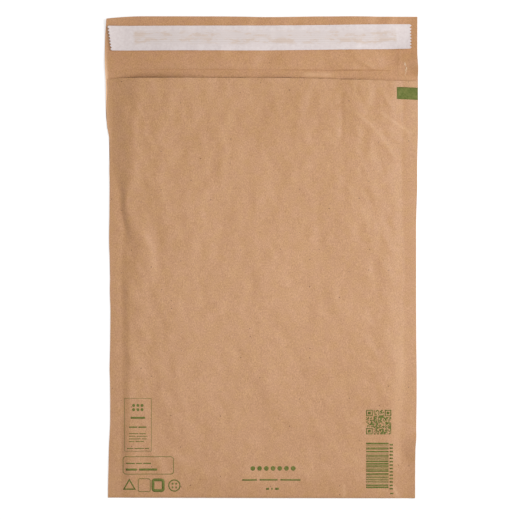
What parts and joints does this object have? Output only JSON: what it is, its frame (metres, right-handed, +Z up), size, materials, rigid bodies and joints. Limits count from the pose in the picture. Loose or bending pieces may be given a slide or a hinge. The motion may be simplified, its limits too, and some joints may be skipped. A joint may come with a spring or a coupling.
{
  "type": "padded envelope",
  "caption": "Kraft paper padded envelope lying empty on its back, with an open pocket, glued side seams and an open flap carrying a peel-off seal strip.",
  "frame": {"origin": "middle of the envelope's footprint, on the table under its back panel", "axes": "+X across the pocket to the right, +Y from the bottom fold to the flap's end, +Z up off the table through the front panel"},
  "size_m": [0.252, 0.39, 0.0104],
  "materials": {
    "kraft_paper": "matte",
    "cushion_paper": "matte",
    "lining_paper": "matte",
    "hot_melt_glue": "satin",
    "silicone_paper": "satin"
  },
  "bodies": {
    "root": {"outer_sheet": "kraft_paper", "padding": "cushion_paper", "inner_lining": "lining_paper", "side_seam_glue_left": "hot_melt_glue", "side_seam_glue_right": "hot_melt_glue", "flap_adhesive": "hot_melt_glue", "release_liner": "silicone_paper"}
  },
  "joints": []
}
